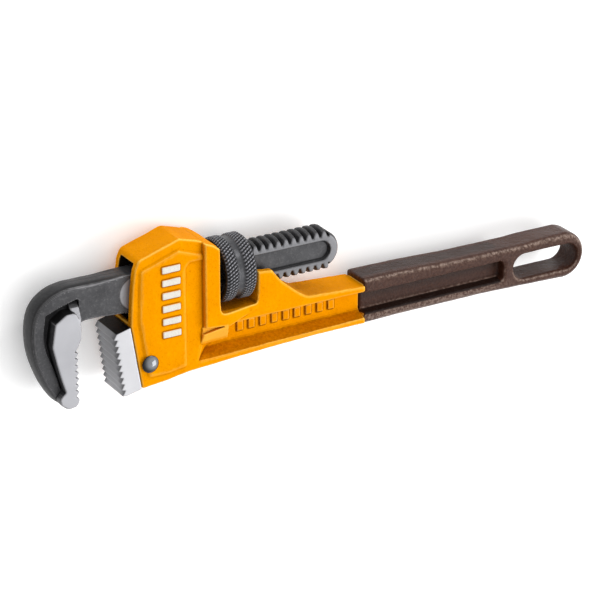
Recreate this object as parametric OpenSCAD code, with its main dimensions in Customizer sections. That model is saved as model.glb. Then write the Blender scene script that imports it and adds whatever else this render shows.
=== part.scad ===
// Heavy-duty straight pipe wrench, 300 mm size, lying on its side.
// X runs along the jaw shank towards the handle's end, Y from the handle up
// to the housing's roof, and Z is the wrench's thickness. The outlines below
// are drawn about the shank's own axis; on_rest() then puts the origin at the
// middle of the bounding box's bottom.

/* [Shank and nut] */
// Outside diameter of the shank's thread
thread_d = 20.6; // [20:0.1:21]
// Lead of the single-start thread
thread_pitch = 4; // [3.8:0.1:4.2]
// Depth of the thread
thread_depth = 2.1; // [1.8:0.1:2.3]
// Thickness of the flat-sided shank
shank_t = 10.8; // [10:0.1:11]
// Outside diameter of the knurled nut
nut_d = 30.2; // [29:0.1:31]
// Length of the knurled nut
nut_l = 15.2; // [14:0.1:16]
// Length of each of the nut's two knurled bands
knurl_l = 5.3; // [4.5:0.1:5.5]
// Clearance of the nut's bore round the shank's thread
thread_gap = 0.15; // [0.1:0.01:0.3]

/* [Jaws] */
// Gap between the jaws' teeth at rest
jaw_gap = 18; // [14:0.5:24]
// Width of both toothed faces
jaw_w = 19; // [18:0.5:20]
// Pitch of the jaw teeth
tooth_pitch = 3.05; // [2.8:0.05:3.3]
// Depth of the jaw teeth
tooth_depth = 1.3; // [1:0.1:1.5]
// Lean of the heel jaw's toothed face
heel_lean = 7.4; // [7:0.1:8]

/* [Housing] */
// Width of the housing's side walls, face to face
head_w = 19; // [18.5:0.5:19.5]
// Height of the raised panel on each side
panel_h = 1; // [0.6:0.1:1.2]
// Width over the column in front of the nut
column_w = 25; // [24:0.5:26]
// Side play of the shank in its channel
channel_gap = 0.45; // [0.35:0.05:0.6]
// Length of the nut's window
window_l = 20.5; // [19:0.5:21]

/* [Handle] */
// Half width of the beam's flanges beside the housing
flange_w = 18; // [17:0.5:19]
// Thickness of the beam's web
web_t = 6; // [5:0.5:7]
// Width of the handle's bare flanges under the coating
core_w = 14; // [13.6:0.2:14.4]
// Thickness of the dipped grip coating
coat_t = 1.2; // [1:0.1:1.4]
// Length of the hang slot through the coated handle
slot_l = 37; // [34:0.5:37]

/* [Springs and pin] */
// Diameter of the heel jaw's pin
pin_d = 5; // [4.5:0.1:5.5]
// Diameter of the pin's domed head
pin_head_d = 7.4; // [7:0.1:8]
// Wire diameter of the coil spring
wire_d = 1; // [0.8:0.1:1.1]
// Mean diameter of the coil spring
coil_d = 6; // [5.5:0.1:6.5]

/* [Hidden] */
$fn = 48;
eps = 0.01;

// Ends of the whole wrench, measured from the nut's rear face on the shank axis
hook_back = -107.4;
handle_end = 185;
jaw_bottom = -47;
roof_top = 22.8;

// Thread
crest_r = thread_d / 2;
root_r = crest_r - thread_depth;
crest_flat = 0.3 * thread_pitch;
root_flat = 0.25 * thread_pitch;
thread_ridge = let (foot = (thread_pitch - root_flat) / 2, top = crest_flat / 2)
    [[-foot, root_r], [-top, crest_r], [top, crest_r], [foot, root_r]];
thread_start = -38.5;
thread_end = 42;
shank_end = 47.5;
shank_half_h = sqrt(pow(crest_r, 2) - pow(shank_t / 2, 2));
shank_core_h = sqrt(pow(root_r, 2) - pow(shank_t / 2, 2));
neck_end = -62;
pocket_depth = 1.4;
groove_depth = 0.8;
groove_r = 5.2;
groove_x = 38.4;

// Teeth: the heel's top front corner, and the hook's tooth line ahead of it
heel_top = [-69, -15.3];
heel_teeth_h = 31.5;
heel_foot = heel_top + heel_teeth_h * [sin(heel_lean), -cos(heel_lean)];
hook_tooth_x = heel_top[0] - jaw_gap - 1;
hook_teeth_top = -17.5;
hook_teeth_bottom = -42;

// Housing
channel_w = shank_t + 2 * channel_gap;
mouth_top = 14;
mouth_floor = -13.5;
mouth_x = -70;
throat_x = -28;
throat_r = crest_r + 0.7;
window_front = -17.5;
window_floor = -16.8;
window_end = window_front + window_l;
window_r = 3;
column_front = -25.3;
// The seam between the heel jaw and the housing
seam_top = [-61, -14];
seam_foot = [-56.1, -45.3];
pin_at = [-52.7, -33.5];
tongue_w = 8;
tongue_gap = 0.15;
tongue_top = -24;
tongue_bottom = -42;
tongue_back = -46;

// Handle
border_x = 60;
core_top = -20.9;
core_bottom = -39.2;
end_r = 10.4;
end_y = -30.5;
flange_t = 3.5;
recess_end = 138;
slot_x = handle_end - slot_l / 2 - 4;
slot_y = -30.6;
slot_r = 6.3;

// Raised bars along the beam's web
bars = 9;
bars_x = -5;
bars_y = -31;
bar_pitch = 6;
bar_w = 3.4;
bar_l = 5;
bar_h = 0.8;

pin_head_h = 1.8;

// Springs, under the shank in the mouth's floor
spring_x = -40;
spring_pocket_r = 4.2;
spring_pocket_floor = -25;
strip_t = 0.8;
strip_w = 9.2;
strip_x = -58;
strip_l = 29;
strip_top = -crest_r - 0.5;

function arc(centre, r, from, to, n = 8) =
    [for (i = [0:n]) let (a = from + (to - from) * i / n) centre + r * [cos(a), sin(a)]];

// Saw teeth along a line: the points of n teeth of depth d from p towards q
function teeth(p, q, d, n) =
    let (along = (q - p) / n, side = [along[1], -along[0]] / norm(along))
    [for (i = [0:n - 1], end = [0, 1])
        end == 0 ? p + along * i - side * d : p + along * (i + 0.75)];

module on_rest()
    translate([-(hook_back + handle_end) / 2, -(jaw_bottom + roof_top) / 2, nut_d / 2])
        children();

module slab(points, w) linear_extrude(w, center = true) polygon(points);

// The same shape on both sides of the wrench, from half width a out to b
module both_sides(a, b)
    for (s = [0, 1]) mirror([0, 0, s]) translate([0, 0, a]) linear_extrude(b - a) children();

// ---- Thread ----

// The threaded shank as a turned bar, with its first crest moved along X by phase
module threaded_bar(phase) {
    count = floor((thread_end - thread_start) / thread_pitch);
    ridges = [for (i = [0:count - 1], p = thread_ridge)
        [p[1], thread_start + (i + 0.5) * thread_pitch + phase + p[0]]];
    rotate([0, 90, 0]) rotate_extrude()
        polygon(concat([[0, thread_start]], [[root_r, thread_start]], ridges,
                       [[root_r, thread_end + 2], [0, thread_end + 2]]));
}

// One side of the flat shank's thread: its crests are arcs of the turned bar,
// and those on the far side lie half a pitch along from them
module thread_rack(up) intersection() {
    threaded_bar(up > 0 ? 0 : thread_pitch / 2);
    translate([thread_start, up > 0 ? 0 : -20, -shank_t / 2]) cube([100, 20, shank_t]);
}

// ---- Casting ----

function head_outline() = [
    seam_foot, seam_top, [-60.6, -6], [-59.8, 4], [-58.6, 12], [-56.5, 16.5],
    [-36.4, roof_top], [-28, 20.4], [-21, 17.6], [window_front, 15], [window_front, -25],
    [window_front, -42], [-27, -42.3], [-34, -42.5], [-42.6, -44]];

function panel_outline() = [
    [-53.6, -41], [-58, -12], [-56.9, 12], [-37.2, 18.6], [-21, 12.8], [-21, 10],
    [-32.6, 10], [-34.5, 8], [-34.5, -39.5], [-43, -41]];

// The column in front of the nut, and the thick sill under the nut's window
function column_outline() = [
    [column_front, -19.5], [window_front, -22], [window_front, 14.8], [-21, 17.4],
    [column_front, 19.3]];

function window_corner() =
    arc([window_front + window_r, window_floor + window_r], window_r, 180, 270);

function sill_outline() = concat(
    [[-24, -21], [window_front - eps, -12]], window_corner(),
    [[window_end, window_floor], [window_end, -19]]);

// The beam between the housing and the grip, with the post behind the nut
function beam_outline() = concat(
    [[-34, -42.5], [-34, -24], [window_front - eps, -12]], window_corner(),
    arc([window_end - 2.5, window_floor + 2.5], 2.5, 270, 360),
    [[window_end, -1.4], [10.6, -2.2], [15, -8], [24, -15.8]],
    arc([32.4, -26.9], 7.5, 122, 90),
    [[border_x, core_top - 0.2], [border_x, -39.6], [35, -39.5], [14, -40.1]]);

// The drafted pockets between the flanges, from each side down to the web. The
// front end slopes back from the web to the head's side.
module beam_pockets() {
    outer = flange_w / 2 + 1;
    for (s = [0, 1]) mirror([0, 0, s]) hull() {
        translate([0, 0, web_t / 2]) linear_extrude(eps)
            polygon([[-13, -24.8], [-21, -35], [border_x + 1, -35], [border_x + 1, -24.8]]);
        translate([0, 0, outer]) linear_extrude(eps)
            polygon([[-25.5, -23.4], [-28.5, -39.2], [border_x + 1, -37], [border_x + 1, -23.4]]);
    }
}

module shank_channel() {
    // mouth, then the lower throat through the column, then the saddle behind the nut
    translate([mouth_x, mouth_floor, -channel_w / 2])
        cube([throat_x - mouth_x, mouth_top - mouth_floor, channel_w]);
    translate([throat_x - eps, -throat_r, -channel_w / 2])
        cube([window_end - throat_x, 2 * throat_r, channel_w]);
    translate([window_end - eps, -throat_r, -channel_w / 2]) cube([60, 40, channel_w]);
}

// Outline of the handle, grown by g over the bare casting: a straight beam that
// swells into a round end
module grip_profile(g) {
    beam_l = 72;
    hull() {
        translate([handle_end - coat_t - end_r, end_y]) circle(end_r + g);
        translate([border_x + beam_l, core_bottom - g])
            square([eps, core_top - core_bottom + 2 * g]);
    }
    translate([border_x, core_bottom - g])
        square([beam_l + 2 * eps, core_top - core_bottom + 2 * g]);
}

// Stadium through the handle, widened by g
module hang_slot(g) {
    for (s = [-1, 1]) translate([slot_x + s * (slot_l / 2 - slot_r), slot_y])
        circle(slot_r + g);
    translate([slot_x - slot_l / 2 + slot_r, slot_y - slot_r - g])
        square([slot_l - 2 * slot_r, 2 * (slot_r + g)]);
}

// Recess between the handle's flanges on one side, narrowed by g
module grip_recess(g) {
    translate([border_x - 1, core_bottom + flange_t + g])
        square([recess_end + 1 - border_x - g, core_top - core_bottom - 2 * (flange_t + g)]);
}

// The bare handle under the coating
module handle_core() difference() {
    linear_extrude(core_w, center = true) grip_profile(0);
    both_sides(web_t / 2 - coat_t, core_w) grip_recess(0);
    linear_extrude(2 * core_w, center = true) hang_slot(coat_t);
}

module handle_casting() color("orange") on_rest() difference() {
    union() {
        difference() {
            union() {
                slab(head_outline(), head_w);
                slab(beam_outline(), flange_w);
            }
            beam_pockets();
        }
        both_sides(head_w / 2 - eps, head_w / 2 + panel_h) polygon(panel_outline());
        both_sides(head_w / 2 - eps, column_w / 2) polygon(column_outline());
        both_sides(head_w / 2 - 1, column_w / 2 - 1.5) polygon(sill_outline());
        // raised bars along the web
        both_sides(web_t / 2 - eps, web_t / 2 + bar_h)
            for (i = [0:bars - 1]) translate([bars_x + i * bar_pitch, bars_y]) square([bar_w, bar_l]);
        handle_core();
    }
    shank_channel();
    // window for the nut, open to the top
    translate([window_front, window_floor + window_r, -column_w]) cube([window_l, 40, 2 * column_w]);
    // slot for the heel jaw's tongue
    translate([mouth_x, tongue_bottom - 1, -tongue_w / 2 - tongue_gap])
        cube([tongue_back + 1 - mouth_x, tongue_top - tongue_bottom + 2, tongue_w + 2 * tongue_gap]);
    translate([pin_at[0], pin_at[1], -head_w]) cylinder(d = pin_d, h = 2 * head_w);
    // pocket for the coil spring
    translate([spring_x, spring_pocket_floor, 0]) rotate([-90, 0, 0])
        cylinder(r = spring_pocket_r, h = mouth_floor - spring_pocket_floor + 1);
}

module grip_coating() color([0.31, 0.22, 0.18]) on_rest() difference() {
    linear_extrude(core_w + 2 * coat_t, center = true) grip_profile(coat_t);
    both_sides(web_t / 2, core_w) grip_recess(coat_t);
    linear_extrude(2 * core_w, center = true) hang_slot(0);
    handle_core();
}

// ---- Hook jaw ----

function tip_arc() = arc([-91.3, jaw_bottom + 3.6], 3.6, 230, 340);

function hook_teeth() = teeth([hook_tooth_x, hook_teeth_bottom], [hook_tooth_x, hook_teeth_top],
    tooth_depth, round((hook_teeth_top - hook_teeth_bottom) / tooth_pitch));

// The C-shaped forging, up to the point where the thread begins
function hook_outline() = concat(
    [[-60, 8.9], [-88, 9.4], [-94.5, 8.3], [-98.6, 6.5], [-102.3, 3.7], [-105.1, 0],
     [-106.8, -5], [hook_back, -11.5], [-106.9, -18], [-105.2, -24], [-102.9, -30],
     [-100.4, -35], [-97.2, -40], [-94.6, -43.4]],
    tip_arc(), hook_teeth(), [[-86.2, -15.2]], arc([-81, -12.9], 4.3, 150, 90),
    [[-60, -8.6]]);

// The thick pad that carries the teeth, and the shallow pocket around it
function pad_outline() = concat(
    tip_arc(), hook_teeth(),
    [[-86.2, -15.2], [-85.7, -9], [-86.6, -4.6], [-88.6, -1.5], [-92.2, -1.9], [-96, -3.4],
     [-97.7, -6], [-98.4, -10.7], [-99.8, -17.4], [-97.2, -24.5], [-94.7, -32.6],
     [-93.4, -37.6], [-94.4, -39.8], [-96.2, -41.2]]);

function pocket_outline() = [
    [-85.2, 2.6], [-92.4, 1], [-98, -0.9], [-100.4, -4.2], [-101.4, -12], [-100.8, -18],
    [-98.2, -25], [-95.6, -33], [-94.6, -38], [-92, -38], [-92, -5], [-84.6, -5]];

module hook_jaw() color([0.3, 0.3, 0.3]) on_rest() {
    difference() {
        union() {
            slab(hook_outline(), shank_t);
            // unthreaded core of the shank, with its round end
            linear_extrude(shank_t, center = true) {
                translate([neck_end, -shank_core_h]) square([thread_end + 1 - neck_end, 2 * shank_core_h]);
                translate([neck_end, -shank_half_h]) square([thread_start + 1 - neck_end, 2 * shank_half_h]);
                intersection() {
                    translate([shank_end - shank_half_h, 0]) circle(shank_half_h);
                    translate([thread_end + 0.8, -crest_r]) square(2 * crest_r);
                }
            }
            thread_rack(1);
            thread_rack(-1);
        }
        both_sides(shank_t / 2 - pocket_depth, shank_t) polygon(pocket_outline());
        // recessed panel along each side of the shank
        both_sides(shank_t / 2 - groove_depth, shank_t) {
            translate([-30, -groove_r]) square([groove_x + 30, 2 * groove_r]);
            translate([groove_x, 0]) circle(groove_r);
        }
    }
    both_sides(shank_t / 2 - pocket_depth - eps, jaw_w / 2) polygon(pad_outline());
}

// ---- Nut ----

module adjusting_nut() color([0.23, 0.23, 0.25]) on_rest()
    rotate([0, -90, 0]) difference() {
        rotate_extrude() polygon([
            [0, 0], [nut_d / 2 - 1, 0], [nut_d / 2, 1], [nut_d / 2, knurl_l],
            [nut_d / 2 - 1.2, knurl_l + 0.9], [nut_d / 2 - 1.2, nut_l - knurl_l - 0.9],
            [nut_d / 2, nut_l - knurl_l], [nut_d / 2, nut_l - 1], [nut_d / 2 - 1, nut_l], [0, nut_l]]);
        translate([0, 0, -1]) cylinder(r = crest_r + thread_gap, h = nut_l + 2);
    }

// ---- Heel jaw and its pin ----

module heel_jaw() color([0.85, 0.85, 0.85]) on_rest() {
    slab(concat([seam_top - [0, 0.3], seam_foot, heel_foot + [0.4, -0.5]],
                teeth(heel_foot, heel_top, tooth_depth, round(heel_teeth_h / tooth_pitch))), jaw_w);
    difference() {
        slab([[-61, tongue_top], [tongue_back, tongue_top], [tongue_back, tongue_bottom],
              [-57, tongue_bottom]], tongue_w);
        translate([pin_at[0], pin_at[1], -tongue_w]) cylinder(d = pin_d + 0.1, h = 2 * tongue_w);
    }
}

module heel_jaw_pin() color("silver") on_rest() translate([pin_at[0], pin_at[1], 0]) {
    half = head_w / 2 + panel_h;
    dome_r = (pow(pin_head_d / 2, 2) + pow(pin_head_h, 2)) / (2 * pin_head_h);
    translate([0, 0, -half]) cylinder(d = pin_d, h = 2 * half);
    translate([0, 0, half]) rotate_extrude() intersection() {
        translate([0, pin_head_h - dome_r]) circle(dome_r, $fn = 96);
        square([pin_head_d / 2, pin_head_h]);
    }
}

// ---- Springs ----

module coil_spring() color("gray") on_rest() translate([spring_x, 0, 0]) {
    turns = 5;
    steps = 16;
    low = spring_pocket_floor + wire_d / 2 + 0.02;
    high = strip_top - strip_t - wire_d / 2 - 0.02;
    sides = 8;
    rings = [for (i = [0:turns * steps]) let (a = 360 * i / steps, y = low + (high - low) * i / turns / steps)
        [for (k = [0:sides - 1]) let (b = 360 * k / sides, r = coil_d / 2 + wire_d / 2 * cos(b))
            [r * cos(a), y + wire_d / 2 * sin(b), r * sin(a)]]];
    last = turns * steps * sides;
    polyhedron([for (r = rings, p = r) p],
        concat([for (i = [0:turns * steps - 1], k = [0:sides - 1])
            let (p = i * sides + k, q = i * sides + (k + 1) % sides)
            each [[p, p + sides, q + sides], [p, q + sides, q]]],
            [[for (k = [0:sides - 1]) k], [for (k = [sides - 1:-1:0]) last + k]]));
}

module flat_spring() color("dimgray") on_rest()
    translate([strip_x, strip_top - strip_t, -strip_w / 2]) cube([strip_l, strip_t, strip_w]);

handle_casting();
grip_coating();
hook_jaw();
adjusting_nut();
heel_jaw();
heel_jaw_pin();
coil_spring();
flat_spring();
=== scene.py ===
"""Looks of the pipe wrench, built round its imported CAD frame.

Shapes are drawn in millimetres about the shank's own axis: x towards the handle's end, y up to the
housing's roof, z across the wrench, with the origin in the middle of the nut's rear face. A solid is
a signed distance field, negative inside, and its zero surface becomes a quad mesh, so that cast,
forged and dipped edges are really round.
"""

import math

import bpy
import numpy as np
from mathutils import Matrix, Vector


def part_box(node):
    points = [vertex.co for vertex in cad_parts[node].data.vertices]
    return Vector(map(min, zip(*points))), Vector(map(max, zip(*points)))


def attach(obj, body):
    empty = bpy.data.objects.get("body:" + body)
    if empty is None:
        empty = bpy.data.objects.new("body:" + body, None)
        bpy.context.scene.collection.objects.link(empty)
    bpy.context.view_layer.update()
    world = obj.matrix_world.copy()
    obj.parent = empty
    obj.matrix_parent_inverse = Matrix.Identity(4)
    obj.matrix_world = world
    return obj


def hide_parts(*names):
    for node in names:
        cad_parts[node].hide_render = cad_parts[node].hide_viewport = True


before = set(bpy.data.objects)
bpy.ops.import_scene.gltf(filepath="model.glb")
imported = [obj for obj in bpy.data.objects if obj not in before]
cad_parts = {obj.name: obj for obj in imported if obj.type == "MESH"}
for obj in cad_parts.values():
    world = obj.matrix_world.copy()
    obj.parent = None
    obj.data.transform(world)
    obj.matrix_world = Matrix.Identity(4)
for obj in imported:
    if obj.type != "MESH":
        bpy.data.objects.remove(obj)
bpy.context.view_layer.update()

MM = 0.001
nut_low, nut_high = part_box("adjusting_nut")
ORIGIN = Vector((nut_high.x, (nut_low.y + nut_high.y) / 2, (nut_low.z + nut_high.z) / 2))

# ---- Sizes shared by several pieces, in millimetres ----

# thread and shank
PITCH = 4.0  # one turn of the nut moves the jaw this far
CREST_R, ROOT_R = 10.3, 8.2
FIRST_CREST = -36.5  # where the ridge crosses the top of the shank
THREAD_START, THREAD_END = -38.5, 42.0
SHANK_HALF = 5.4  # half thickness of the shank and of the hook's blank
NECK_HALF = 8.77  # half height of the shank ahead of its thread
CORE_HALF = 6.17  # half height of the core under the thread
SHANK_END = 47.5

# jaws
JAW_HALF = 9.5
HOOK_TOOTH_X = -88.0
HOOK_TOOTH_DEPTH, HEEL_TOOTH_DEPTH = 1.7, 1.8
HEEL_TOP = np.array([-69.0, -15.3])
HEEL_LEAN = math.radians(7.4)
HEEL_TEETH = 31.5  # length of the row
HEEL_FOOT = HEEL_TOP + HEEL_TEETH * np.array([math.sin(HEEL_LEAN), -math.cos(HEEL_LEAN)])
SEAM_TOP, SEAM_FOOT = (-61.0, -14.0), (-56.1, -45.3)  # where the heel jaw meets the housing
PIN_AT, PIN_R = (-52.7, -33.5), 2.5

# housing and handle; a half is half of a thickness across the wrench
HEAD_HALF, PANEL_HALF, COLUMN_HALF = 9.5, 10.5, 12.5
BEAM_HALF, WEB_HALF = 9.45, 3.0
CHANNEL_HALF = SHANK_HALF + 0.45
BORDER_X = 60.0  # where the coating starts
CORE_TOP, CORE_BOTTOM = -20.9, -39.2
COAT = 1.2  # thickness of the coating over the bare handle's recess and slot
END_CENTRE, END_R = (173.4, -30.5), 10.4
SLOT_CENTRE, SLOT_HALF, SLOT_R = (162.5, -30.6), 12.2, 6.3


# ---- Distance fields ----


def smooth_step(v, start, end):
    """0 before start, 1 past end, and a smooth slope between them."""
    t = np.clip((v - start) / (end - start), 0, 1)
    return t * t * (3 - 2 * t)


def cut(a, b, r=0.0):
    """What is inside both fields, with the edge between them rounded to radius r."""
    if np.ndim(r) == 0 and r == 0:
        return np.maximum(a, b)
    u, v = a + r, b + r
    return (
        np.minimum(np.maximum(u, v), 0)
        + np.hypot(np.maximum(u, 0), np.maximum(v, 0))
        - r
    )


def add(a, b, r=0.0):
    """What is inside either field, with a fillet of radius r between them."""
    return -cut(-a, -b, r)


def rounded(points, radius=0.0):
    """A closed outline with its corners rounded. A point may carry its own radius as a third number."""
    out = []
    for i, p in enumerate(points):
        r = p[2] if len(p) > 2 else radius
        a, b, c = (
            np.array(q[:2], float)
            for q in (points[i - 1], p, points[(i + 1) % len(points)])
        )
        u, v = a - b, c - b
        lu, lv = np.hypot(*u), np.hypot(*v)
        turn = math.pi - math.acos(np.clip(u @ v / lu / lv, -1, 1))
        t = min(r * math.tan(turn / 2), 0.48 * lu, 0.48 * lv)
        if t < 0.01:
            out.append(b)
            continue
        start, end = b + u / lu * t, b + v / lv * t
        for w in np.linspace(0, 1, 6):
            out.append((1 - w) ** 2 * start + 2 * w * (1 - w) * b + w * w * end)
    return np.array(out)


def inside_outline(points, x, y):
    """Signed distance from the points (x, y) to a closed outline."""
    nearest = np.full(np.broadcast(x, y).shape, 1e9, np.float32)
    inside = np.zeros(nearest.shape, bool)
    for (x0, y0), (x1, y1) in zip(points, np.roll(points, -1, 0)):
        ex, ey = x1 - x0, y1 - y0
        if ex == 0 and ey == 0:
            continue
        wx, wy = x - x0, y - y0
        t = np.clip((wx * ex + wy * ey) / (ex * ex + ey * ey), 0, 1)
        nearest = np.minimum(nearest, (wx - ex * t) ** 2 + (wy - ey * t) ** 2)
        if ey != 0:
            inside ^= ((y0 <= y) != (y1 <= y)) & (x < x0 + (y - y0) / ey * ex)
    return np.where(inside, -1, 1) * np.sqrt(nearest)


def box(x, y, x0, x1, y0, y1, r=0.0):
    """Signed distance to an upright rectangle."""
    return cut(np.abs(x - (x0 + x1) / 2) - (x1 - x0) / 2, np.abs(y - (y0 + y1) / 2) - (y1 - y0) / 2, r)


def teeth(p, q, depth, count):
    """Saw teeth along a line from p to q."""
    p, q = np.array(p, float), np.array(q, float)
    along = (q - p) / count
    side = np.array([along[1], -along[0]]) / np.hypot(*along)
    out = []
    for i in range(count):
        out += [p + along * i - side * depth, p + along * (i + 0.75)]
    return [tuple(o) for o in out]


def arc(centre, r, start, end, n=8):
    """Points along an arc, from and to an angle in degrees."""
    return [
        (centre[0] + r * math.cos(math.radians(a)), centre[1] + r * math.sin(math.radians(a)))
        for a in np.linspace(start, end, n + 1)
    ]


class Grid:
    """The points a field is worked out at: x and y as a plan, z across, and a = |z|."""

    def __init__(self, xs, ys, zs):
        self.axes = [np.asarray(v, float) for v in (xs, ys, zs)]
        self.x = self.axes[0][:, None, None].astype(np.float32)
        self.y = self.axes[1][None, :, None].astype(np.float32)
        self.z = self.axes[2][None, None, :].astype(np.float32)
        self.a = np.abs(self.z)

    def plan(self, points, radius=0.0):
        return inside_outline(rounded(points, radius), self.x, self.y)


def run(start, stop, step):
    """Evenly spaced places from start to stop or just past it."""
    return np.arange(start, stop + step, step)


def ripple(g, size, seed):
    """Smooth random waves about size millimetres long, from -1 to 1, for cast and dipped skins."""
    counts = [int((v[-1] - v[0]) / size) + 3 for v in g.axes]
    values = np.random.default_rng(seed).uniform(-1, 1, counts).astype(np.float32)
    for m, v in enumerate(g.axes):
        at = (v - v[0]) / size
        low = at.astype(int)
        share = smooth_step(at - low, 0, 1).astype(np.float32)
        share = share.reshape([-1 if k == m else 1 for k in range(3)])
        values = np.take(values, low, m) * (1 - share) + np.take(values, low + 1, m) * share
    return values


# ---- From field to mesh ----


def look_up(field, axes, p):
    """The field at any points, by trilinear interpolation."""
    low, share = [], []
    for m in range(3):
        i = np.clip(np.searchsorted(axes[m], p[:, m]) - 1, 0, len(axes[m]) - 2)
        low.append(i)
        share.append((p[:, m] - axes[m][i]) / (axes[m][i + 1] - axes[m][i]))
    out = np.zeros(len(p))
    for corner in np.ndindex(2, 2, 2):
        weight = np.ones(len(p))
        for m in range(3):
            weight *= share[m] if corner[m] else 1 - share[m]
        out += weight * field[tuple(low[m] + corner[m] for m in range(3))]
    return out


def surface(field, axes):
    """Quad mesh of the field's zero surface: points, quads, normals and mean curvature (1/mm)."""
    cells = np.array(field.shape) - 1
    stride = np.array([cells[1] * cells[2], cells[2], 1])
    inside = field < 0
    owners, crossings, quads = [], [], []
    for m in range(3):
        b, c = (m + 1) % 3, (m + 2) % 3
        first = [slice(None)] * 3
        second = [slice(None)] * 3
        first[m], second[m] = slice(None, -1), slice(1, None)
        at = np.argwhere(inside[tuple(first)] != inside[tuple(second)])
        after = at.copy()
        after[:, m] += 1
        f0, f1 = field[tuple(at.T)], field[tuple(after.T)]
        p = np.stack([axes[k][at[:, k]] for k in range(3)], 1)
        p[:, m] += f0 / (f0 - f1) * (axes[m][after[:, m]] - axes[m][at[:, m]])
        ring = []
        for db, dc in ((-1, -1), (0, -1), (0, 0), (-1, 0)):
            cell = at.copy()
            cell[:, b] += db
            cell[:, c] += dc
            ring.append(cell @ stride)
        ring = np.stack(ring, 1)
        owners.append(ring.ravel())
        crossings.append(np.repeat(p, 4, 0))
        flip = ~inside[tuple(at.T)]
        ring[flip] = ring[flip][:, ::-1]
        quads.append(ring)
    used, which = np.unique(np.concatenate(owners), return_inverse=True)
    crossings = np.concatenate(crossings)
    count = np.bincount(which)
    p = np.stack([np.bincount(which, crossings[:, k]) / count for k in range(3)], 1)
    quads = np.searchsorted(used, np.concatenate(quads))

    reach = float(min(np.diff(v).min() for v in axes)) * 0.7
    shifts = np.eye(3) * reach
    for step in range(3):
        centre = look_up(field, axes, p)
        ahead = np.stack([look_up(field, axes, p + s) for s in shifts], 1)
        behind = np.stack([look_up(field, axes, p - s) for s in shifts], 1)
        slope = (ahead - behind) / (2 * reach)
        size = np.maximum(np.linalg.norm(slope, axis=1), 0.2)
        if step < 2:
            move = np.clip(centre / size**2, -reach, reach)
            p = p - slope * move[:, None]
    curve = (ahead + behind).sum(1) - 6 * centre
    return p, quads, slope / size[:, None], curve / reach**2 / size


def place(name, points, quads, normals, marks, body, node, material):
    """Makes a piece that stands for a CAD node and rides on its body."""
    mesh = bpy.data.meshes.new(name)
    at = points * MM + np.array(ORIGIN)
    mesh.from_pydata(at.tolist(), [], quads.tolist())
    mesh.shade_smooth()
    for key, values in marks.items():
        mark = mesh.attributes.new(key, "FLOAT", "POINT")
        mark.data.foreach_set("value", np.asarray(values, np.float32))
    if normals is not None:
        mesh.normals_split_custom_set_from_vertices(normals.tolist())
    mesh.materials.append(material)
    piece = bpy.data.objects.new(name, mesh)
    bpy.context.scene.collection.objects.link(piece)
    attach(piece, body)
    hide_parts(node)
    return piece


def solid_piece(name, field, grid, body, node, material, extra, keen=(0.25, 1.6)):
    """Makes a piece from its field. keen is the curvature range over which an edge is lightened by wear and
    painted highlight.
    """
    p, quads, normals, curve = surface(field.astype(np.float32), grid.axes)
    # convex edges are lightened by wear and painted highlight; concave corners are darkened as painted shade
    marks = {
        "wear_and_highlight": smooth_step(curve, *keen),
        "painted_shade": smooth_step(-curve, 0.1, 1.4),
    }
    marks.update(extra(p, normals, marks))
    print(f"{name}: {len(quads)} quads")
    return place(name, p, quads, normals, marks, body, node, material)


# ---- Materials ----


def srgb(code):
    """A colour written as on screen, in linear light."""
    v = [int(code[i : i + 2], 16) / 255 for i in (0, 2, 4)]
    return tuple(c / 12.92 if c < 0.04045 else ((c + 0.055) / 1.055) ** 2.4 for c in v) + (1.0,)


class Shader:
    """A node material, built step by step round one principled shader."""

    def __init__(self, name, **constants):
        self.material = bpy.data.materials.new(name)
        self.material.use_nodes = True
        self.tree = self.material.node_tree
        self.tree.nodes.clear()
        out = self.tree.nodes.new("ShaderNodeOutputMaterial")
        self.main = self.tree.nodes.new("ShaderNodeBsdfPrincipled")
        self.tree.links.new(self.main.outputs[0], out.inputs["Surface"])
        for key, value in constants.items():
            self.main.inputs[key.replace("_", " ")].default_value = value
        self.coords = self.node("ShaderNodeTexCoord").outputs["Object"]

    def node(self, kind, inputs=None, **settings):
        made = self.tree.nodes.new(kind)
        for key, value in settings.items():
            setattr(made, key, value)
        for key, value in (inputs or {}).items():
            self.feed(made.inputs[key], value)
        return made

    def feed(self, socket, value):
        if isinstance(value, bpy.types.NodeSocket):
            self.tree.links.new(value, socket)
        else:
            socket.default_value = value

    def noise(self, size, detail=3.0, roughness=0.55, stretch=None):
        """Noise whose features are about size millimetres across, drawn out along an axis by stretch."""
        where = self.coords
        if stretch is not None:
            where = self.node(
                "ShaderNodeMapping", {"Vector": where, "Scale": stretch}
            ).outputs[0]
        return self.node(
            "ShaderNodeTexNoise",
            {"Vector": where, "Scale": 1000 / size, "Detail": detail, "Roughness": roughness},
        ).outputs["Fac"]

    def mark(self, name):
        return self.node("ShaderNodeAttribute", attribute_name=name).outputs["Fac"]

    def span(self, value, start, end, low=0.0, high=1.0):
        """value from start..end to low..high, clamped."""
        return self.node(
            "ShaderNodeMapRange",
            {"Value": value, "From Min": start, "From Max": end, "To Min": low, "To Max": high},
        ).outputs[0]

    def maths(self, operation, a, b):
        return self.node("ShaderNodeMath", {0: a, 1: b}, operation=operation).outputs[0]

    def blend(self, share, a, b):
        made = self.node("ShaderNodeMix", data_type="RGBA")
        for socket, value in zip((made.inputs[0], made.inputs[6], made.inputs[7]), (share, a, b)):
            self.feed(socket, value)
        return made.outputs[2]

    def bump(self, height, depth, strength=1.0, base=None):
        """depth is in millimetres for a height from 0 to 1."""
        inputs = {"Height": height, "Distance": depth * MM, "Strength": strength}
        if base is not None:
            inputs["Normal"] = base
        return self.node("ShaderNodeBump", inputs).outputs[0]

    def finish(self, **links):
        for key, value in links.items():
            self.feed(self.main.inputs[key.replace("_", " ")], value)
        return self.material


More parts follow.
